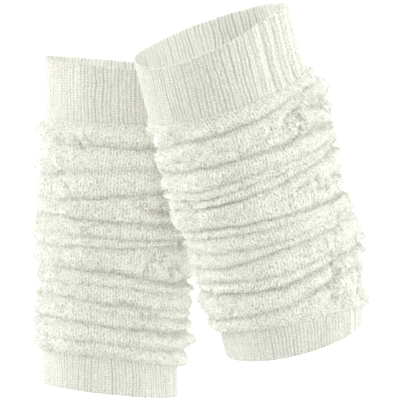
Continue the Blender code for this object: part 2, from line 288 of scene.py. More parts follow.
REAR = LegShape(
    name="rear",
    rim_centre=(-65.3, 101.0, -6.2),
    hem_centre=(-77.9, 92.1, -239.0),
    rim=Level(-1.8, 0.6, 2.6, 3.0, 1.9, 1.4, 0.0, -1.4),
    band_seam=Level(41.6, 41.4, 40.8, 40.8, 41.3, 41.8, 42.0, 41.8),
    folds=fold_table(
        ((56.0, 57.4, 58.0, 58.6, 62.2, 61.0, 57.5, 56.0), (3.0, 5.0, 5.0, 4.5)),
        ((82.0, 79.0, 74.3, 72.8, 76.0, 77.0, 79.5, 81.5), (4.5, 4.0, 4.5, 4.5)),
        ((95.6, 96.8, 93.0, 87.8, 88.2, 89.5, 93.5, 95.2), (3.5, 5.0, 5.5, 4.5)),
        ((101.5, 101.6, 100.6, 102.3, 102.6, 101.5, 101.0, 101.5), (0.6, 0.2, 4.5, 1.5)),
        ((108.6, 107.9, 109.8, 111.3, 112.0, 110.0, 109.0, 109.0), (4.5, 5.5, 5.5, 5.0)),
        ((119.0, 120.4, 121.6, 121.6, 121.8, 120.5, 119.0, 118.5), (3.0, 4.0, 3.5, 3.5)),
        ((128.4, 129.4, 127.6, 125.9, 126.4, 128.0, 130.0, 129.5), (4.0, 5.0, 4.5, 4.5)),
        ((145.5, 144.3, 146.0, 153.0, 152.4, 149.5, 146.5, 146.0), (4.0, 5.5, 6.0, 5.0)),
        ((158.0, 154.9, 155.3, 159.2, 160.4, 158.5, 157.0, 157.5), (3.0, 3.0, 3.5, 3.5)),
        ((171.4, 164.4, 168.5, 171.2, 171.8, 169.0, 167.2, 169.8), (3.5, 4.2, 4.0, 4.5)),
        ((175.4, 171.8, 174.1, 177.1, 177.8, 175.5, 173.8, 174.8), (0.6, 1.5, 6.5, 2.5)),
        ((180.0, 180.0, 183.7, 186.4, 186.3, 184.0, 181.5, 180.5), (4.0, 5.0, 7.0, 5.0)),
        ((193.1, 194.1, 195.4, 199.0, 199.8, 198.0, 195.0, 193.5), (4.0, 5.0, 5.0, 4.5)),
    ),
    cuff_seam=Level(205.2, 205.1, 205.2, 209.2, 210.5, 208.0, 206.0, 205.2),
    hem=Level(229.4, 229.2, 230.6, 232.6, 233.6, 233.0, 231.5, 230.0),
    band=table(Section, (0.0, -1.4, 57.0), (22.0, -0.6, 56.6), (42.0, 1.0, 56.6)),
    body=table(
        Section,
        (42.0, 0.0, 60.2), (50.0, -0.5, 60.9), (62.0, 1.2, 59.4), (75.0, 0.0, 60.8),
        (104.0, 0.0, 60.4), (125.0, -1.6, 59.0), (146.0, -1.8, 56.2), (164.0, -1.1, 55.6),
        (180.0, -0.4, 56.4), (193.0, 1.1, 57.8), (206.0, -0.8, 54.2),
    ),
    cuff=table(Section, (205.0, -1.2, 47.8), (231.0, 0.4, 48.4)),
    overhang=Sides(1.0, 1.5, 4.0, 2.0),
    band_step=Sides(0.3, 0.05, 0.4, 0.6),
    cuff_step=Sides(0.4, 0.1, 0.8, 0.5),
    cuff_taper=Sides(1.5, 3.2, 1.0, 2.0),
    rumple=Sides(5.5, 0.4, 4.0, 3.0),
    rib_height=0.55,
    pinches=table(
        Pinch,
        (-31.5, 51.0, -29.0, 60.5, 0.8, 1.3), (-23.5, 50.5, -20.5, 57.0, 0.9, 1.0),
        (-29.0, 55.5, -25.5, 52.0, 0.8, 0.7), (-43.5, 77.0, -49.5, 79.5, 1.2, 1.4),
        (-40.5, 84.5, -36.0, 87.5, 0.9, 0.9), (-47.0, 54.0, -42.5, 56.5, 1.0, 0.8),
        (-20.0, 45.5, -27.5, 51.5, 1.4, -0.8), (-54.5, 45.5, -58.5, 62.5, 2.2, -1.2),
        (-51.0, 62.0, -45.5, 72.5, 1.8, -0.9), (14.5, 98.5, 17.5, 101.0, 0.9, 0.8),
        (23.0, 101.5, 29.0, 102.0, 1.2, 1.4), (30.0, 103.0, 38.5, 102.0, 1.3, 2.0),
        (29.0, 99.5, 32.5, 94.5, 1.0, 1.1), (37.5, 94.5, 40.0, 98.0, 1.2, 1.4),
        (18.5, 92.5, 16.5, 97.0, 1.0, 0.6), (32.5, 92.5, 35.5, 100.0, 1.6, -1.3),
        (15.5, 102.0, 20.5, 108.0, 1.4, -0.7), (23.0, 105.0, 36.0, 106.5, 1.8, -0.9),
        (23.5, 145.5, 30.0, 132.0, 1.2, 1.7), (36.0, 137.0, 36.5, 129.5, 1.1, 1.2),
        (45.0, 141.0, 49.5, 146.0, 1.2, 1.2), (49.0, 140.0, 56.5, 142.0, 1.1, 1.2),
        (62.5, 150.0, 82.5, 153.5, 1.5, 2.2), (52.0, 122.5, 55.5, 127.0, 1.2, 1.2),
        (28.5, 136.0, 25.5, 143.5, 1.6, -0.9), (32.5, 140.5, 36.5, 148.0, 1.8, -0.9),
        (38.0, 130.5, 50.0, 136.0, 1.6, -0.7), (56.0, 202.0, 74.0, 210.0, 3.0, -2.8),
        (-58.0, 196.5, -57.0, 205.0, 2.6, -1.4), (63.5, 187.0, 67.0, 192.0, 2.4, -0.9),
        (-69.5, 75.0, -54.0, 78.0, 2.4, -1.8), (-68.5, 114.5, -56.0, 114.5, 1.3, 1.5),
        (-77.5, 164.5, -60.0, 164.5, 1.2, 1.2), (-23.0, 116.0, -16.0, 113.0, 1.0, 0.6),
        (6.0, 165.5, 17.0, 167.5, 1.2, 0.8), (-40.5, 140.0, -31.5, 142.0, 1.0, 0.7),
        (22.5, 171.5, 23.0, 177.0, 1.1, 1.5), (27.0, 175.5, 35.5, 174.0, 1.1, 1.2),
    ),
    flutes=Flutes(start=150.0, end=215.0, width=12.0, depth=0.9),
    cuff_flutes=None,
    body_flat=(0.371, 0.232),
    seed=23,
)


def around(values: tuple, known_turns: tuple, turn: np.ndarray) -> np.ndarray:
    """Join values at known turns by a smooth closed curve.

    Args:
        values: the value at each known turn.
        known_turns: rising turns that span less than a full one.
        turn: the turns to read.

    Returns:
        The curve's value at each turn.
    """
    knots = np.array(known_turns)
    heights = np.array(values)
    steps = np.diff(np.append(knots, knots[0] + FULL_TURN))
    slopes = np.diff(np.append(heights, heights[0])) / steps
    before = np.roll(steps, 1)
    tangents = (np.roll(slopes, 1) * steps + slopes * before) / (before + steps)
    place = (np.asarray(turn) - knots[0]) % FULL_TURN
    at = np.searchsorted(knots - knots[0], place, side="right") - 1
    after = (at + 1) % len(knots)
    step = steps[at]
    t = (place - (knots - knots[0])[at]) / step
    # the cubic that has the right height and slope at both of its ends
    return (
        (2 * t**3 - 3 * t**2 + 1) * heights[at]
        + (t**3 - 2 * t**2 + t) * step * tangents[at]
        + (-2 * t**3 + 3 * t**2) * heights[after]
        + (t**3 - t**2) * step * tangents[after]
    )


def smooth(share: np.ndarray) -> np.ndarray:
    """Return a share eased in and out between 0 and 1."""
    held = np.clip(share, 0.0, 1.0)
    return held * held * (3.0 - 2.0 * held)


def puff_side(distance: np.ndarray, power: float, fill: float) -> np.ndarray:
    """Return how much of a crease's depth is left on the way up to the puff's crest.

    Args:
        distance: the share of the way to the crest.
        power: how quickly the cloth rises out of the crease.
        fill: how far the pile rounds the crease's sharp bottom, as such a share.

    Returns:
        The share of the depth, 1 in the crease and 0 on the crest.
    """
    held = np.clip(distance, 0.0, 1.0)
    rounded = (np.sqrt(held * held + fill * fill) - fill) / (math.hypot(1.0, fill) - fill)
    return (1.0 - rounded) ** power


def linear(hex_colour: str) -> tuple:
    """Turn an sRGB hex colour to linear values.

    Args:
        hex_colour: six hex digits.

    Returns:
        Red, green, blue and a full alpha, linear.
    """
    shares = [int(hex_colour[i:i + 2], 16) / 255.0 for i in (0, 2, 4)]
    # the two parts of the sRGB standard's curve
    return (*[s / 12.92 if s <= 0.04045 else ((s + 0.055) / 1.055) ** 2.4 for s in shares], 1.0)


class Unevenness:
    """Seeded smooth noise over the unrolled cloth, closed round the tube."""

    def __init__(self, seed: int) -> None:
        """Start the draws from a seed."""
        self.draws = np.random.default_rng(seed)

    def field(self, turn: np.ndarray, down: np.ndarray, wave: Wave) -> np.ndarray:
        """Draw one smooth field.

        Args:
            turn: turns to read.
            down: distances to read, of the same shape.
            wave: the field's cells and strength.

        Returns:
            The field at each place, between its strength below nothing and above.
        """
        across = (turn / FULL_TURN * wave.cells) % wave.cells
        along = (down - down.min()) / wave.tall
        column = np.floor(across).astype(int) % wave.cells
        row = np.floor(along).astype(int)
        values = self.draws.uniform(-1.0, 1.0, (row.max() + 2, wave.cells))
        u = smooth(across - np.floor(across))
        v = smooth(along - row)
        after = (column + 1) % wave.cells
        top = values[row, column] * (1.0 - u) + values[row, after] * u
        low = values[row + 1, column] * (1.0 - u) + values[row + 1, after] * u
        return wave.strength * (top * (1.0 - v) + low * v)

    def fields(self, turn: np.ndarray, down: np.ndarray, waves: tuple) -> np.ndarray:
        """Draw a field for each wave, in order, and return their sum at each place."""
        return sum(self.field(turn, down, wave) for wave in waves)


class Tube:
    """The slanted axis that one leg warmer is built round."""

    def __init__(self, shape: LegShape) -> None:
        """Work out the axis from the centres of the rim and the hem.

        Args:
            shape: the leg warmer's measures.
        """
        self.rim = np.array(shape.rim_centre)
        self.along = unit(np.array(shape.hem_centre) - self.rim)
        self.right = unit(np.cross(self.along, (0.0, 1.0, 0.0)))
        self.back = np.cross(self.right, self.along)

    def place(self, turn: np.ndarray, down: np.ndarray, radius: np.ndarray,
              shift: np.ndarray) -> np.ndarray:
        """Place points round the tube in the world.

        Args:
            turn: each point's turn round the tube.
            down: its distance down the tube.
            radius: its distance from the section's centre.
            shift: the section's step to the right.

        Returns:
            The points in metres, with xyz last.
        """
        angle = np.radians(turn)
        right = (shift + radius * np.sin(angle))[..., None]
        back = (radius * np.cos(angle))[..., None]
        return (self.rim + down[..., None] * self.along + right * self.right - back * self.back) * MM


def unit(vectors: np.ndarray) -> np.ndarray:
    """Return vectors, whose xyz come last, at a length of one."""
    return vectors / np.maximum(np.linalg.norm(vectors, axis=-1, keepdims=True), TINY)


def sections_at(sections: tuple, down: np.ndarray) -> tuple:
    """Read a table of sections.

    Args:
        sections: the table, from the top down.
        down: the distances to read.

    Returns:
        The centre's step to the right and the half width at each distance.
    """
    downs = [row.down for row in sections]
    shift = np.interp(down, downs, [row.shift for row in sections])
    half_width = np.interp(down, downs, [row.half_width for row in sections])
    return shift, half_width


def grid_normals(points: np.ndarray) -> np.ndarray:
    """Return outward unit normals of a grid of points that closes round the tube.

    Args:
        points: rows down the tube by columns round it by xyz.

    Returns:
        A unit normal for each point.
    """
    across = np.roll(points, -1, axis=1) - np.roll(points, 1, axis=1)
    return unit(np.cross(np.gradient(points, axis=0), across))


class ClothMesh:
    """Collects rings of points into one closed piece of cloth."""

    def __init__(self) -> None:
        """Start with nothing."""
        self.points: list = []
        self.places: list = []
        self.hollows: list = []
        self.faces: list = []
        self.count = 0

    def add_ring(self, points: np.ndarray, places: np.ndarray, hollow: np.ndarray) -> np.ndarray:
        """Add points and return their numbers, in the same shape.

        Args:
            points: any number of points by xyz.
            places: the same points' places on the unrolled cloth's own cylinder, millimetres.
            hollow: 0 on the yarn's crests to 1 in its grooves, for each point; it greys the colour as
                painted shade, and also carries painted light and shade of the folds.

        Returns:
            The number of each point.
        """
        numbers = self.count + np.arange(hollow.size).reshape(hollow.shape)
        self.count += hollow.size
        self.points.append(points.reshape(-1, 3))
        self.places.append(places.reshape(-1, 3))
        self.hollows.append(hollow.reshape(-1))
        return numbers

    def add_rings(self, points: np.ndarray, places: np.ndarray, hollow: np.ndarray,
                  outward: bool) -> np.ndarray:
        """Add rows of rings and the quads between them.

        Args:
            points: rows by columns by xyz.
            places: as for add_ring.
            hollow: as for add_ring.
            outward: whether the faces look away from the tube's axis.

        Returns:
            The number of each point, rows by columns.
        """
        numbers = self.add_ring(points, places, hollow)
        after = np.roll(numbers, -1, axis=1)
        corners = [numbers[:-1], numbers[1:], after[1:], after[:-1]]
        if not outward:
            corners.reverse()
        self.faces.append(np.stack(corners, axis=2).reshape(-1, 4))
        return numbers

    def join_rings(self, outer: np.ndarray, inner: np.ndarray, at_top: bool) -> None:
        """Close an end between an outer ring and an inner ring of as many or fewer points.

        Args:
            outer: the outer ring's point numbers.
            inner: the inner ring's, whose count divides the outer's.
            at_top: whether the end looks up the tube.
        """
        share = len(outer) // len(inner)
        after = np.roll(outer, -1)
        nearest = inner[((np.arange(len(outer)) + share // 2) // share) % len(inner)]
        corners = np.stack([outer, after, np.roll(nearest, -1), nearest], axis=1)
        self.faces.append(corners if at_top else corners[:, ::-1])

    def finish(self, name: str, material: Material) -> Object:
        """Make the object.

        Args:
            name: the piece's name.
            material: what it wears.

        Returns:
            The new object, at the origin.
        """
        mesh = bpy.data.meshes.new(name)
        faces = []
        for corners in np.concatenate(self.faces).tolist():
            faces.append([corner for k, corner in enumerate(corners) if corner != corners[k - 1]])
        mesh.from_pydata(np.concatenate(self.points).tolist(), [], faces)
        place = mesh.attributes.new(PLACE_NAME, "FLOAT_VECTOR", "POINT")
        place.data.foreach_set("vector", np.concatenate(self.places).astype(np.float32).ravel())
        hollow = mesh.attributes.new(HOLLOW_AND_SHADE_NAME, "FLOAT", "POINT")
        hollow.data.foreach_set("value", np.concatenate(self.hollows).astype(np.float32))
        return dress(mesh, material)


def dress(mesh: Mesh, material: Material) -> Object:
    """Smooth a mesh, give it its material and put it in the scene as an object.

    Args:
        mesh: the finished mesh.
        material: what it wears.

    Returns:
        The new object, at the origin and named after the mesh.
    """
    mesh.materials.append(material)
    mesh.shade_smooth()
    mesh.update()
    piece = bpy.data.objects.new(mesh.name, mesh)
    bpy.context.scene.collection.objects.link(piece)
    return piece


def cloth_place(turn: np.ndarray, path: np.ndarray, radius: float) -> np.ndarray:
    """Return places on a cylinder of the cloth's own size, so that patterns close round it."""
    angle = np.radians(turn)
    return np.stack([radius * np.sin(angle), radius * np.cos(angle), path], axis=-1)


@dataclass
class RibbedBand:
    """A two-by-two rib tube, corrugated inside and out, between two levels of the leg."""

    shape: LegShape
    name: str
    top: Level
    bottom: Level
    sections: tuple
    flutes: Flutes | None
    seed: int
    sewn_at_bottom: bool = True
    row_step: float = 1.5
    wall: float = 1.6
    groove_depth: float = 0.75
    groove_width: float = 0.07
    valley_width: float = 0.09
    inner_shade: float = 0.76
    outer_grey_for_painted_lit_inside: float = 0.52
    painted_ridge_highlight: float = 0.55
    lip: float = 0.5
    lip_hollow: float = 0.3
    sewn_ease: float = 5.0
    sewn_relief: float = 0.45
    sewn_flute: float = 0.35
    sway: float = 0.8
    sway_waves: tuple = (Wave(24, 16.0), Wave(RIBS, 3.0, 0.5))
    rib_strength: float = 0.9
    rib_wave: Wave = Wave(2 * RIBS, 22.0, 0.5)
    soft_wave: Wave = Wave(14, 18.0, 0.5)
    yarn_wave: Wave = Wave(RIBS * COLUMNS_PER_RIB // 2, 0.9, 0.10)

    def profile(self, phase: np.ndarray) -> np.ndarray:
        """Shape one rib: two wales with a shallow groove between them, then a wider, deeper valley.

        Args:
            phase: places round the tube, one whole number to each rib.

        Returns:
            The share of the rib's height at each place.
        """
        from_groove = np.abs((phase + 0.5) % 1.0 - 0.5)
        from_valley = np.abs(phase % 1.0 - 0.5)
        groove = self.groove_depth * np.exp(-(from_groove / self.groove_width) ** 2)
        valley = np.exp(-(from_valley / self.valley_width) ** 2)
        return 1.0 - groove - valley

    def ripple(self, turn: np.ndarray) -> tuple:
        """Shape the soft upright waves.

        Args:
            turn: the turns to read.

        Returns:
            How far the waves press in, and how much of a crest they make, which takes a painted
            highlight, at each turn.
        """
        if self.flutes is None:
            return np.zeros_like(turn), np.zeros_like(turn)
        f = self.flutes
        place = (turn + HALF_TURN) % FULL_TURN - HALF_TURN
        if f.end > HALF_TURN:
            place = turn % FULL_TURN
        inside = smooth((place - f.start) / f.width) * smooth((f.end - place) / f.width)
        wave = 0.5 - 0.5 * np.cos(2.0 * np.pi * (place - f.start) / f.width)
        return f.depth * inside * wave, inside * (1.0 - wave)

    def build(self, material: Material) -> Object:
        """Build the band.

        Args:
            material: the rib knit.

        Returns:
            The finished piece.
        """
        tube = Tube(self.shape)
        rough = Unevenness(self.seed)
        columns = RIBS * COLUMNS_PER_RIB
        turns = np.arange(columns) * FULL_TURN / columns
        top = self.top.at(turns)
        bottom = self.bottom.at(turns)
        rows = int(np.ceil((bottom - top).mean() / self.row_step)) + 1
        down = top + (bottom - top) * np.linspace(0.0, 1.0, rows)[:, None]
        turn = np.broadcast_to(turns, down.shape)
        swayed = turn + self.sway * rough.fields(turn, down, self.sway_waves)
        strength = self.rib_strength + rough.field(turn, down, self.rib_wave)
        phase = turn / FULL_TURN * RIBS
        low = (1.0 - self.profile(phase)) * strength
        # the seam holds the ribs and waves flatter
        free = smooth((bottom - down if self.sewn_at_bottom else down - top) / self.sewn_ease)
        relief = self.shape.rib_height * (self.sewn_relief + (1.0 - self.sewn_relief) * free)
        soft = rough.field(turn, down, self.soft_wave) * free
        fuzz = rough.field(turn, down, self.yarn_wave)
        shift, half_width = sections_at(self.sections, down)
        flute, crest = self.ripple(swayed)
        flute = flute * (self.sewn_flute + (1.0 - self.sewn_flute) * free)
        outer = half_width + soft - flute - relief * low + fuzz
        inner = outer - self.wall
        # the inside has its valleys behind the outside's grooves; painted light: the inside has no grey
        # base, so it reads paler than the outside, as if light fell into the tube
        inner_hollow = self.inner_shade * (1.0 - self.profile(phase + 0.5)) * strength
        # painted highlight: the outer colour is paler on the crests of the soft waves, as if lit there
        face = self.outer_grey_for_painted_lit_inside * (1.0 - self.painted_ridge_highlight * crest)
        # the grey base goes on the outside only, so the inside is painted lighter
        outer_hollow = face + (1.0 - self.outer_grey_for_painted_lit_inside) * low
        cloth = ClothMesh()
        places = cloth_place(turn, down, self.sections[0].half_width)
        outside = cloth.add_rings(tube.place(swayed, down, outer, shift), places, outer_hollow, True)
        inside = cloth.add_rings(tube.place(swayed, down, inner, shift), places, inner_hollow, False)
        for row, at_top, step in ((0, True, -self.lip), (-1, False, self.lip)):
            middle = (outer[row] + inner[row]) / 2.0
            points = tube.place(swayed[row], down[row] + step, middle, shift[row])
            ring = cloth.add_ring(points, places[row], np.full(columns, self.lip_hollow))
            cloth.join_rings(outside[row], ring, at_top)
            cloth.join_rings(ring, inside[row], at_top)
        piece = cloth.finish(self.name, material)
        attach(piece, BODY_NAME)
        return piece


@dataclass(frozen=True)
class Ground:
    """What the loops grow from: the terry's points and directions, and how open each lies."""

    points: np.ndarray
    up: np.ndarray
    across: np.ndarray
    openness: np.ndarray


@dataclass
class TerryBody:
    """The slouched terry tube between its band and its cuff."""

    shape: LegShape
    columns: int = 2 * WALES
    row_step: float = 0.9
    probe_rows: int = 24
    least_rows: int = 5
    inner_share: int = 4
    inner_hollow: float = 0.5
    wall: float = 2.0
    round_half_width: float = 57.0
    crease_power: float = 2.3
    crease_fill: float = 0.28
    crease_share: float = 0.76
    crease_wander: float = 0.65
    crease_fade: float = 0.22
    crease_shade: float = 0.55
    crease_ripple: float = 0.4
    crease_pile: float = 0.35
    closed_depth: float = 2.4
    full_puff: float = 9.0
    side_reach: float = 7.0
    sag_share: float = 0.06
    sag_ease: float = 0.25
    seam_ease: float = 3.0
    wander_waves: tuple = (Wave(26, 1.0), Wave(61, 1.0, 0.6), Wave(150, 1.0, 0.5))
    fade_waves: tuple = (Wave(17, 1.0), Wave(45, 1.0, 0.5))
    swell_wave: Wave = Wave(16, 16.0, 0.7)
    ripple_wave: Wave = Wave(62, 6.0, 0.4)
    cushion_waves: tuple = (Wave(30, 9.0), Wave(60, 4.5, 0.35))
    cushion_rest: float = 0.4
    cushion_shade_level: float = 0.3
    patch_share: float = 0.6
    patch_wave: Wave = Wave(11, 24.0, 0.9)
    wale_height: float = 0.18
    loop_wave: Wave = Wave(WALES, 1.7, 0.28)
    loop_grain: float = 0.15
    grain_limit: float = 2.0
    wale_sway: Wave = Wave(WALES // 2, 3.2, 0.35)
    crumple_share: float = 2.8
    crumple_spread: float = 1.4
    crumple_limit: float = 3.4
    shade_per_mm: float = 0.5
    unseen_count: int = 44
    unseen_turns: tuple = (95.0, 268.0)
    unseen_margins: tuple = (8.0, 6.0)
    unseen_reach: tuple = (3.0, 6.0)
    unseen_depths: tuple = (1.6, 1.2, -1.2)
    unseen_widths: tuple = (0.9, 1.6)

    def prepare(self) -> None:
        """Work out the creases and where they run."""
        s = self.shape
        self.rough = Unevenness(s.seed)
        self.turns = np.arange(self.columns) * FULL_TURN / self.columns
        flat = np.zeros(self.columns)
        wander = [self.rough.fields(self.turns, flat, self.wander_waves) for _ in s.folds]
        fade = [self.rough.fields(self.turns, flat, self.fade_waves) for _ in s.folds]
        levels = [s.band_seam.at(self.turns)]
        levels += [f.level.at(self.turns) + self.crease_wander * w for f, w in zip(s.folds, wander)]
        levels.append(s.cuff_seam.at(self.turns))
        self.levels = np.array(levels)
        self.band_shift, band_half_width = sections_at(s.band, levels[0])
        self.cuff_shift, cuff_half_width = sections_at(s.cuff, levels[-1])
        depths = [sections_at(s.body, levels[0])[1] - band_half_width]
        depths += [self.crease_share * f.depth.at(self.turns) * (1.0 + self.crease_fade * w)
                   for f, w in zip(s.folds, fade)]
        depths.append(sections_at(s.body, levels[-1])[1] - cuff_half_width)
        self.depths = np.array(depths)

    def puff(self, index: int, steps: np.ndarray) -> tuple:
        """Work out the cloth of one puff.

        Args:
            index: which puff, from the top.
            steps: shares of the way over it, from 0 at its upper crease.

        Returns:
            Distance down, half width, step to the right and openness, each steps by columns.
        """
        s = self.shape
        last = len(self.levels) - 2
        high, low = self.levels[index], self.levels[index + 1]
        above, below = self.depths[index], self.depths[index + 1]
        # rows are closer together in the creases
        t = (0.5 - 0.5 * np.cos(np.pi * steps))[:, None]
        tall = low - high
        reach = np.minimum(tall / 2.0, self.side_reach)
        upper = puff_side(t * tall / reach, self.crease_power, self.crease_fill)
        lower = puff_side((1.0 - t) * tall / reach, self.crease_power, self.crease_fill)
        if index == 0:
            step = np.minimum(s.band_step.at(self.turns), 1.0)
            upper = step * upper + (1.0 - step) * (1.0 - smooth(t * tall / reach))
        if index == last:
            step = s.cuff_step.at(self.turns)
            lower = step * lower + (1.0 - step) * (1.0 - smooth((1.0 - t) * tall / reach))
        crest = np.minimum(above, below) * (1.0 - np.minimum(1.0, tall / self.full_puff))
        drop = self.sag_share * tall
        if index == last:
            drop = drop + s.overhang.at(self.turns)
        hang = (1.0 - upper) * smooth((1.0 - t) / self.sag_ease)
        down = high + tall * t + drop * t * hang
        shift, half_width = sections_at(s.body, np.minimum(down, s.body[-1].down))
        taper = s.cuff_taper.at(self.turns) if index == last else 0.0
        radius = half_width - crest - (above - crest) * upper
        radius = radius - (below - taper - crest) * lower - taper * t
        if index == 0:
            shift = shift + (self.band_shift - shift) * upper
        if index == last:
            shift = shift + (self.cuff_shift - shift) * lower
        # a shallow crease doesn't close
        upper = upper * np.clip(above / self.closed_depth, 0.0, 1.0)
        lower = lower * np.clip(below / self.closed_depth, 0.0, 1.0)
        return down, radius, shift, (1.0 - upper) * (1.0 - lower)

    def lay_rows(self) -> tuple:
        """Lay all the puffs, each in rows of about one step of cloth.

        Returns:
            Distance down, half width, step to the right and openness, each rows by columns.
        """
        parts = []
        puffs = len(self.levels) - 1
        for index in range(puffs):
            down, radius, _, _ = self.puff(index, np.linspace(0.0, 1.0, self.probe_rows))
            arc = np.hypot(np.diff(down, axis=0), np.diff(radius, axis=0)).sum(axis=0).mean()
            count = max(self.least_rows, int(round(arc / self.row_step)))
            parts.append(self.puff(index, np.arange(count + (index == puffs - 1)) / count))
        return tuple(np.concatenate([part[k] for part in parts]) for k in range(4))

    def unseen_pinches(self) -> tuple:
        """Draw crumples like the seen ones for the back, where the photograph shows nothing.

        Returns:
            The crumples.
        """
        draws = self.rough.draws
        high = self.levels[0].max() + self.unseen_margins[0]
        low = self.levels[-1].min() - self.unseen_margins[1]
        made = []
        for _ in range(self.unseen_count):
            turn = draws.uniform(*self.unseen_turns)
            down = draws.uniform(high, low)
            lean = draws.uniform(-0.5, 0.5) * math.pi
            reach = draws.uniform(*self.unseen_reach)
            across, along = reach * math.sin(lean), reach * math.cos(lean)
            depth = draws.choice(self.unseen_depths)
            width = draws.uniform(*self.unseen_widths)
            made.append(Pinch(turn - across, down - along, turn + across, down + along, width, depth))
        return tuple(made)

    def crumples(self, turn: np.ndarray, down: np.ndarray) -> np.ndarray:
        """Press the short crumples into the cloth.

        Args:
            turn: the turns to read.
            down: the distances to read.

        Returns:
            How far the cloth is pressed in at each place.
        """
        total = np.zeros_like(down)
        scale = math.pi / HALF_TURN * self.round_half_width
        for p in self.shape.pinches + self.unseen_pinches():
            x = ((turn - p.turn + HALF_TURN) % FULL_TURN - HALF_TURN) * scale
            y = down - p.down
            run_x = (p.to_turn - p.turn) * scale
            run_y = p.to_down - p.down
            along = np.clip((x * run_x + y * run_y) / (run_x * run_x + run_y * run_y), 0.0, 1.0)
            far = (x - along * run_x) ** 2 + (y - along * run_y) ** 2
            total += self.crumple_share * p.depth * np.exp(-far / (self.crumple_spread * p.width) ** 2)
        return self.crumple_limit * np.tanh(total / self.crumple_limit)

    def build(self, material: Material) -> tuple:
        """Build the cloth of the body.

        Args:
            material: the terry knit.

        Returns:
            The finished piece, and the ground for its loops.
        """
        self.prepare()
        rough = self.rough
        tube = Tube(self.shape)
        down, radius, shift, openness = self.lay_rows()
        turn = np.broadcast_to(self.turns, down.shape)
        steps = [np.diff(way, axis=0, prepend=way[:1]) for way in (down, radius)]
        path = np.hypot(*steps).cumsum(axis=0)
        log.info("%s cloth runs %.0f mm over its folds, in %d rows", self.shape.name,
                 path[-1].mean(), len(down))
        # the larger softness: slow swells, knobs at the edges, and crumples
        soft = rough.field(turn, down, self.swell_wave)
        rippled = self.crease_ripple + (1.0 - self.crease_ripple) * openness
        soft += rough.field(turn, down, self.ripple_wave) * rippled
        cushions = np.abs(rough.fields(turn, path, self.cushion_waves))
        patches = smooth(self.patch_share + rough.field(turn, path, self.patch_wave))
        freed = np.sqrt(openness)
        rumple = self.shape.rumple.at(self.turns) * patches * freed
        soft += rumple * (cushions - self.cushion_rest)
        ends = smooth(path / self.seam_ease) * smooth((path[-1] - path) / self.seam_ease)
        pressed = self.crumples(turn, down)
        # painted shade: the colour greys in the valleys between the cushions and along the crumples,
        # where shade falls
        painted_fold_shade = (np.clip(self.shade_per_mm * rumple * (self.cushion_shade_level - cushions), 0.0, 1.0)
                  + np.clip(self.shade_per_mm * pressed, 0.0, 1.0))
        radius = radius + soft * ends - pressed * ends * freed
        base = tube.place(turn, down, radius, shift)
        normals = grid_normals(base)
        across = np.cross(normals, tube.along)
        # the pile: two columns to each wale, rows of loops and the yarn's own grain
        wale = np.where(np.arange(self.columns) % 2 == 0, 1.0, -1.0)[None, :]
        loop = rough.field(turn, path, self.loop_wave)
        grain = rough.draws.normal(0.0, 1.0, down.shape).clip(-self.grain_limit, self.grain_limit)
        pile = self.wale_height * wale + loop + self.loop_grain * grain
        pile = pile * (self.crease_pile + (1.0 - self.crease_pile) * openness) * ends
        sway = rough.field(turn, path, self.wale_sway)
        outer = base + (normals * pile[..., None] + across * sway[..., None]) * MM
        # painted shade in every crease, where the cloth folds shut
        painted_fold_shade = painted_fold_shade * ends + self.crease_shade * (1.0 - openness)
        # painted shade: the pile's low places are greyer, as if shaded between the loops
        reach = self.wale_height + self.loop_wave.strength + self.loop_grain
        hollow = np.clip(0.5 - 0.5 * pile / reach, 0.0, 1.0) + painted_fold_shade
        cloth = ClothMesh()
        places = cloth_place(turn, path, self.round_half_width)
        outside = cloth.add_rings(outer, places, hollow, True)
        # the inside is plain, so every fourth row and column makes it
        rows = np.unique(np.append(np.arange(0, len(down) - 1, self.inner_share), len(down) - 1))
        pick = np.ix_(rows, np.arange(0, self.columns, self.inner_share))
        inner_down = np.minimum(down, self.levels[-1])[pick]
        inner = tube.place(turn[pick], inner_down, (radius - self.wall)[pick], shift[pick])
        inside = cloth.add_rings(inner, places[pick], np.full(inner_down.shape, self.inner_hollow), False)
        cloth.join_rings(outside[0], inside[0], True)
        cloth.join_rings(outside[-1], inside[-1], False)
        piece = cloth.finish(f"{self.shape.name}_terry_body", material)
        return piece, Ground(outer, normals, across, openness)


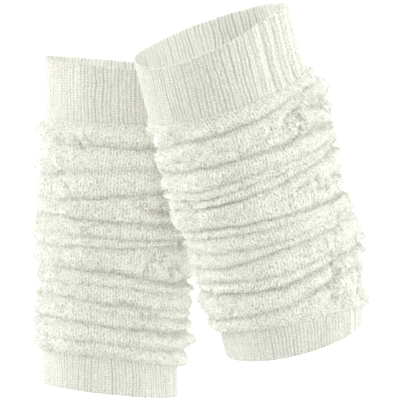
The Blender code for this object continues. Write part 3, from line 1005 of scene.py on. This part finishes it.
@dataclass
class LoopPile:
    """The loose yarn loops that stand on the terry: from foot to top to foot, three-sided."""

    name: str
    ground: Ground
    draws: np.random.Generator
    count: int = 12500
    yarn: float = 0.26
    yarn_sides: tuple = (90.0, 210.0, 330.0)
    seam_rows: int = 4
    seam_share: float = 0.9
    open_power: float = 0.7
    spin: float = 0.7
    lean_along: tuple = (0.15, 0.35)
    lean_across: tuple = (0.0, 0.3)
    tall_draw: tuple = (7.0, 0.135)
    tall_limits: tuple = (0.4, 1.7)
    half_widths: tuple = (0.4, 0.75)
    foot_sunk: float = 0.35

    def choose(self) -> tuple:
        """Choose where the loops stand: more of them where the cloth lies open.

        Returns:
            The row and the column of each loop's ground.
        """
        weight = self.ground.openness[1:-1] ** self.open_power
        weight[:self.seam_rows] = self.seam_share
        weight[-self.seam_rows:] = self.seam_share
        columns = weight.shape[1]
        weight = weight.ravel()
        chosen = self.draws.choice(weight.size, self.count, replace=False, p=weight / weight.sum())
        return chosen // columns + 1, chosen % columns

    def build(self, material: Material) -> Object:
        """Build the loops.

        Args:
            material: the loop yarn.

        Returns:
            The finished piece.
        """
        draws, count = self.draws, self.count
        spot = self.choose()
        root, up, across = (g[spot] for g in (self.ground.points, self.ground.up, self.ground.across))
        along = np.cross(up, across)
        spin = draws.normal(0.0, self.spin, count)[:, None]
        flat = across * np.cos(spin) + along * np.sin(spin)
        lean = along * draws.normal(*self.lean_along, count)[:, None]
        rise = unit(up + (lean + across * draws.normal(*self.lean_across, count)[:, None]))
        tall = draws.gamma(*self.tall_draw, count).clip(*self.tall_limits)[:, None]
        wide = draws.uniform(*self.half_widths, count)[:, None]
        feet = (-self.foot_sunk * up - wide * flat, -self.foot_sunk * up + wide * flat)
        top = tall * rise
        path = np.stack([feet[0], top, feet[1]], axis=1) * MM + root[:, None]
        side = unit(np.cross(rise, flat))
        ways = unit(np.stack([top - feet[0], feet[1] - feet[0], feet[1] - top], axis=1))
        out = np.cross(ways, side[:, None])
        lines = []
        for angle in np.radians(self.yarn_sides):
            offset = math.cos(angle) * side[:, None] + math.sin(angle) * out
            lines.append(path + offset * self.yarn * MM)
        points = np.stack(lines, axis=2).reshape(-1, 3)
        sides = len(self.yarn_sides)
        first = (np.arange(count) * path.shape[1] * sides)[:, None]
        quads = []
        for ring in (0, sides):
            for k in range(sides):
                a, b = ring + k, ring + (k + 1) % sides
                quads.append(first + np.array([a, b, b + sides, a + sides]))
        caps = (first + np.arange(sides)[::-1], first + 2 * sides + np.arange(sides))
        faces = np.concatenate(quads).tolist() + np.concatenate(caps).tolist()
        mesh = bpy.data.meshes.new(self.name)
        mesh.from_pydata(points.tolist(), [], faces)
        return dress(mesh, material)


def add_node(tree: NodeTree, kind: str, settings: dict | None = None, links: dict | None = None) -> Node:
    """Add a node with its settings and links.

    Args:
        tree: the material's tree.
        kind: the node's type name, after its ShaderNode.
        settings: values of inputs by name or number, and of the node's own properties by name.
        links: what feeds each input, by name or number: a socket, or a node for its first one.

    Returns:
        The node.
    """
    node = tree.nodes.new("ShaderNode" + kind)
    for key, value in (settings or {}).items():
        if isinstance(key, int) or key in node.inputs:
            node.inputs[key].default_value = value
        else:
            setattr(node, key, value)
    for key, source in (links or {}).items():
        socket = source.outputs[0] if isinstance(source, Node) else source
        tree.links.new(socket, node.inputs[key])
    return node


def new_material(name: str) -> tuple:
    """Start a material.

    Args:
        name: the real material's name.

    Returns:
        The material, its tree and its shader.
    """
    made = bpy.data.materials.new(name)
    made.use_nodes = True
    return made, made.node_tree, made.node_tree.nodes[SHADER_NAME]


@dataclass(frozen=True)
class Knit:
    """What the knits share: pale on the yarn's crests, painted shade greying its hollows, and matt."""

    name: str
    crest: str
    groove: str
    roughness: float
    sheen: float
    specular: float
    bump_mm: float
    sheen_roughness: float = 0.5

    def start(self) -> tuple:
        """Start the material.

        Returns:
            The material, and the sockets of each place's hollow, which holds its painted light and shade,
            and of the place on the cloth.
        """
        made, tree, _ = new_material(self.name)
        hollow = add_node(tree, "Attribute", {"attribute_name": HOLLOW_AND_SHADE_NAME})
        place = add_node(tree, "Attribute", {"attribute_name": PLACE_NAME})
        return made, hollow.outputs["Fac"], place.outputs["Vector"]

    def finish(self, made: Material, low: Node, grey: Node) -> Material:
        """Raise and colour the surface.

        Args:
            made: the started material.
            low: how low each place lies.
            grey: how far each place's colour is from the crest's to the groove's.

        Returns:
            The finished material.
        """
        tree = made.node_tree
        bump = add_node(tree, "Bump", {"invert": True, "Strength": 1.0, "Distance": self.bump_mm * MM},
                        {"Height": low})
        colour = add_node(tree, "Mix",
                          {"data_type": "RGBA", 6: linear(self.crest), 7: linear(self.groove)},
                          {0: grey})
        shader = tree.nodes[SHADER_NAME]
        tree.links.new(colour.outputs[2], shader.inputs["Base Color"])
        tree.links.new(bump.outputs[0], shader.inputs["Normal"])
        shader.inputs["Roughness"].default_value = self.roughness
        shader.inputs["Sheen Weight"].default_value = self.sheen
        shader.inputs["Sheen Roughness"].default_value = self.sheen_roughness
        shader.inputs["Specular IOR Level"].default_value = self.specular
        return made


@dataclass(frozen=True)
class RibKnit(Knit):
    """Cotton and wool two-by-two rib."""

    name: str = "rib_knit_cotton_wool"
    crest: str = "ECECE4"
    groove: str = "B0B0A7"
    roughness: float = 0.92
    sheen: float = 0.1
    specular: float = 0.2
    bump_mm: float = 0.41
    stitch_mm: float = 1.9
    chevron_mm: float = 0.9
    pit_share: float = 0.12
    slub_per_mm: float = 1.2
    slub_share: float = 0.4
    groove_shade: float = 1.15

    def material(self) -> Material:
        """Build the material.

        Returns:
            The finished material.
        """
        # spun yarn is matt and off-white, so the wales show by their grey grooves alone, a painted shade
        # in each groove
        made, hollow, place = self.start()
        tree = made.node_tree
        # stitch rows bent into chevrons by each wale's own roundness
        split = add_node(tree, "SeparateXYZ", links={0: place})
        bent = add_node(tree, "Math", {"operation": "MULTIPLY_ADD", 1: self.chevron_mm},
                        {0: hollow, 2: split.outputs[2]})
        phase = add_node(tree, "Math", {"operation": "MULTIPLY", 1: 2.0 * math.pi / self.stitch_mm},
                         {0: bent})
        stitch = add_node(tree, "Math", {"operation": "SINE"}, {0: phase})
        # single stitches and slubs of the spun yarn stand out from their neighbours
        slub = add_node(tree, "TexNoise", {"Scale": self.slub_per_mm, **SPUN_YARN}, {"Vector": place})
        uneven = add_node(tree, "MapRange",
                          {**NOISE_SPAN, "To Min": -self.slub_share, "To Max": self.slub_share},
                          {0: slub})
        # the grooves are chains of dark pits, one between each two stitches: painted shade
        pit = add_node(tree, "Math",
                       {"operation": "MULTIPLY_ADD", 1: self.pit_share, 2: 1.0 - self.pit_share},
                       {0: stitch})
        low = add_node(tree, "Math", {"operation": "MULTIPLY_ADD"}, {0: hollow, 1: pit, 2: uneven})
        grey = add_node(tree, "Math",
                        {"operation": "MULTIPLY", 1: self.groove_shade, "use_clamp": True}, {0: low})
        return self.finish(made, low, grey)


@dataclass(frozen=True)
class TerryKnit(Knit):
    """Looped cotton terry."""

    name: str = "terry_knit_looped_cotton"
    crest: str = "F2F2EA"
    groove: str = "B6B6AC"
    roughness: float = 0.97
    sheen: float = 0.4
    specular: float = 0.15
    bump_mm: float = 0.28
    wale_share: float = 0.22
    loop_mm: tuple = (1.1, 1.1, 1.7)
    pit_edge: float = 0.45
    pit_share: float = 0.35
    drift_per_mm: float = 0.4
    drift_mm: float = 1.2
    twist_per_mm: float = 1.4
    twist_share: float = 0.8

    def material(self) -> Material:
        """Build the material.

        Returns:
            The finished material.
        """
        # loops of soft yarn scatter light every way, which gives a pale fluffy face; its grey pits are
        # painted shade
        made, hollow, place = self.start()
        tree = made.node_tree
        # the rows of loops wander a little
        drift = add_node(tree, "TexNoise", {"Scale": self.drift_per_mm, "Detail": NOISE_DETAIL},
                         {"Vector": place})
        push = add_node(tree, "VectorMath",
                        {"operation": "MULTIPLY_ADD", 1: (2.0 * self.drift_mm,) * 3},
                        {0: drift.outputs["Color"], 2: place})
        # long loops side by side, one cell each, with a pit of painted shade where three meet
        size = add_node(tree, "VectorMath", {"operation": "DIVIDE", 1: self.loop_mm}, {0: push})
        loop = add_node(tree, "TexVoronoi", {"Scale": 1.0}, {"Vector": size})
        pit = add_node(tree, "MapRange", {"From Min": self.pit_edge, "From Max": 1.0}, {0: loop})
        # the knit's own upright columns, seen between the loops
        spot = add_node(tree, "SeparateXYZ", links={0: push})
        angle = add_node(tree, "Math", {"operation": "ARCTAN2"}, {0: spot, 1: spot.outputs[1]})
        turned = add_node(tree, "Math", {"operation": "MULTIPLY", 1: float(WALES)}, {0: angle})
        column = add_node(tree, "Math", {"operation": "COSINE"}, {0: turned})
        # twisted yarn within each loop
        yarn = add_node(tree, "TexNoise", {"Scale": self.twist_per_mm, **SPUN_YARN}, {"Vector": place})
        twist = add_node(tree, "MapRange",
                         {**NOISE_SPAN, "To Min": -self.twist_share, "To Max": self.twist_share},
                         {0: yarn})
        between = add_node(tree, "Math", {"operation": "MULTIPLY_ADD", 1: self.wale_share},
                           {0: column, 2: twist})
        low = add_node(tree, "Math", {"operation": "ADD"}, {0: pit, 1: between})
        # the hollow attribute adds its painted shade of the folds and the pile
        grey = add_node(tree, "Math",
                        {"operation": "MULTIPLY_ADD", 1: self.pit_share, "use_clamp": True},
                        {0: hollow, 2: low})
        return self.finish(made, low, grey)


@dataclass(frozen=True)
class LoopYarn:
    """The loose loops' own yarn: soft spun cotton."""

    light: str = "FFFFF8"
    dark: str = "F1F1E8"
    roughness: float = 0.95
    specular: float = 0.1
    glow: float = 0.15
    slub_per_mm: float = 0.7

    def material(self) -> Material:
        """Build the material.

        Returns:
            The finished material.
        """
        # thin and matt: the paler fuzz that stands out along every edge
        made, tree, shader = new_material("loop_yarn_spun_cotton")
        place = add_node(tree, "TexCoord")
        slub = add_node(tree, "TexNoise", {"Scale": self.slub_per_mm / MM, "Detail": NOISE_DETAIL},
                        {"Vector": place.outputs["Object"]})
        colour = add_node(tree, "Mix",
                          {"data_type": "RGBA", 6: linear(self.dark), 7: linear(self.light)}, {0: slub})
        tree.links.new(colour.outputs[2], shader.inputs["Base Color"])
        shader.inputs["Roughness"].default_value = self.roughness
        shader.inputs["Specular IOR Level"].default_value = self.specular
        # light from behind passes through thin yarn
        through = add_node(tree, "BsdfTranslucent", links={0: colour.outputs[2]})
        both = add_node(tree, "MixShader", {0: self.glow}, {1: shader, 2: through})
        tree.links.new(both.outputs[0], tree.nodes["Material Output"].inputs["Surface"])
        return made


@dataclass(frozen=True)
class SoftBox:
    """A square soft light that faces a target, its light kept within a spread."""

    name: str
    place: tuple
    watts: float
    shadow: bool = False
    target: tuple = SUBJECT_CENTRE
    size: float = 1.2
    spread: float = 180.0

    def build(self) -> None:
        """Add the light."""
        data = bpy.data.lights.new(self.name, "AREA")
        data.shape = "SQUARE"
        data.size = self.size
        data.energy = self.watts
        data.spread = math.radians(self.spread)
        data.use_shadow = self.shadow
        light = bpy.data.objects.new(self.name, data)
        light.location = self.place
        ahead = Vector(self.target) - Vector(self.place)
        light.rotation_euler = ahead.to_track_quat("-Z", "Y").to_euler()
        bpy.context.scene.collection.objects.link(light)


@dataclass
class Studio:
    """A plain pale floor, soft light from both sides and the photograph's view."""

    elevation: float = 5.5
    distance: float = 3.0
    frame_width: float = 0.28
    sensor: float = 36.0
    clip_end: float = 200.0
    soft_boxes: tuple = (
        SoftBox("left_soft_box", (-1.5, 0.3, 0.15), 25.0, shadow=True),
        SoftBox("right_soft_box", (1.5, -0.6, 0.15), 16.0),
        SoftBox("far_right_soft_box", (1.5, 1.0, 0.15), 11.0),
        SoftBox("high_right_soft_box", (0.8, -0.3, 1.4), 13.0),
        SoftBox("backdrop_light", (0.0, 7.5, 4.0), 600.0, True, (0.0, 8.0, FLOOR_DOWN), 11.0, 100.0),
    )
    front_strength: float = 1.55
    front_tilt: float = 58.0
    front_turn: float = -18.0
    front_softness: float = 50.0
    world_strength: float = 0.36
    floor_size: float = 60.0
    floor_colours: tuple = ("F4F4F2", "F7F7F5")
    floor_roughness: float = 0.9
    floor_grain_per_m: float = 2.0

    def camera(self) -> None:
        """Set the camera at the photograph's angle."""
        slope = math.radians(self.elevation)
        data = bpy.data.cameras.new("camera")
        data.sensor_width = self.sensor
        data.lens = self.sensor * self.distance / self.frame_width
        data.clip_end = self.clip_end
        camera = bpy.data.objects.new("camera", data)
        bpy.context.scene.collection.objects.link(camera)
        ahead = Vector((0.0, math.cos(slope), -math.sin(slope)))
        camera.location = Vector(SUBJECT_CENTRE) - ahead * self.distance
        camera.rotation_euler = (math.pi / 2.0 - slope, 0.0, 0.0)
        bpy.context.scene.camera = camera

    def lights(self) -> None:
        """Set the soft boxes, a wide light from high at the front left, and the surroundings."""
        for soft_box in self.soft_boxes:
            soft_box.build()
        data = bpy.data.lights.new("high_front_left_light", "SUN")
        data.energy = self.front_strength
        data.angle = math.radians(self.front_softness)
        high = bpy.data.objects.new("high_front_left_light", data)
        high.rotation_euler = (math.radians(self.front_tilt), 0.0, math.radians(self.front_turn))
        bpy.context.scene.collection.objects.link(high)
        world = bpy.data.worlds.new("pale_surroundings")
        world.use_nodes = True
        shade = world.node_tree.nodes["Background"]
        shade.inputs["Color"].default_value = (1.0, 1.0, 1.0, 1.0)
        shade.inputs["Strength"].default_value = self.world_strength
        bpy.context.scene.world = world

    def floor(self) -> None:
        """Lay the plain pale floor."""
        bpy.ops.object.select_all(action="DESELECT")
        bpy.ops.mesh.primitive_plane_add(size=self.floor_size, location=(0.0, 0.0, FLOOR_DOWN))
        floor = bpy.context.object
        floor.name = "studio_floor"
        # matt paint gives an even pale ground with no highlight
        made, tree, shader = new_material("painted_board_matt_white")
        place = add_node(tree, "TexCoord")
        grain = add_node(tree, "TexNoise", {"Scale": self.floor_grain_per_m},
                         {"Vector": place.outputs["Object"]})
        low, high = self.floor_colours
        colour = add_node(tree, "Mix", {"data_type": "RGBA", 6: linear(low), 7: linear(high)},
                          {0: grain})
        tree.links.new(colour.outputs[2], shader.inputs["Base Color"])
        shader.inputs["Roughness"].default_value = self.floor_roughness
        floor.data.materials.append(made)

    def build(self) -> None:
        """Set up the whole studio."""
        self.camera()
        self.lights()
        self.floor()
        bpy.context.scene.view_settings.view_transform = "Standard"


@dataclass
class LegWarmer:
    """One leg warmer: its ribbed band, its terry body with loops, and its ribbed cuff."""

    shape: LegShape

    def build(self, rib: Material, terry: Material, loop_yarn: Material) -> tuple:
        """Build the pieces and hang them on the frame.

        Args:
            rib: the rib knit.
            terry: the terry knit.
            loop_yarn: the loops' yarn.

        Returns:
            The pieces, from the top down.
        """
        s = self.shape
        band = RibbedBand(s, f"{s.name}_ribbed_band", s.rim, s.band_seam, s.band, s.flutes, s.seed + 1)
        made_band = band.build(rib)
        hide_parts(f"{s.name}_top_band")
        body = TerryBody(s)
        cloth, ground = body.build(terry)
        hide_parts(f"{s.name}_body")
        loops = LoopPile(f"{s.name}_terry_loops", ground, body.rough.draws).build(loop_yarn)
        for piece in (cloth, loops):
            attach(piece, BODY_NAME)
        cuff = RibbedBand(s, f"{s.name}_ribbed_cuff", s.cuff_seam, s.hem, s.cuff, s.cuff_flutes,
                          s.seed + 2, sewn_at_bottom=False)
        made_cuff = cuff.build(rib)
        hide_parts(f"{s.name}_bottom_cuff")
        return made_band, cloth, loops, made_cuff


def main() -> None:
    """Build the pair and its studio."""
    logging.basicConfig(level=logging.INFO, format="%(name)s: %(message)s")
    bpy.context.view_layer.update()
    rib = RibKnit().material()
    terry = TerryKnit().material()
    loop_yarn = LoopYarn().material()
    for shape in (FRONT, REAR):
        for piece in LegWarmer(shape).build(rib, terry, loop_yarn):
            log.info("%s has %d faces", piece.name, len(piece.data.polygons))
    Studio().build()


if __name__ == "__main__":
    main()
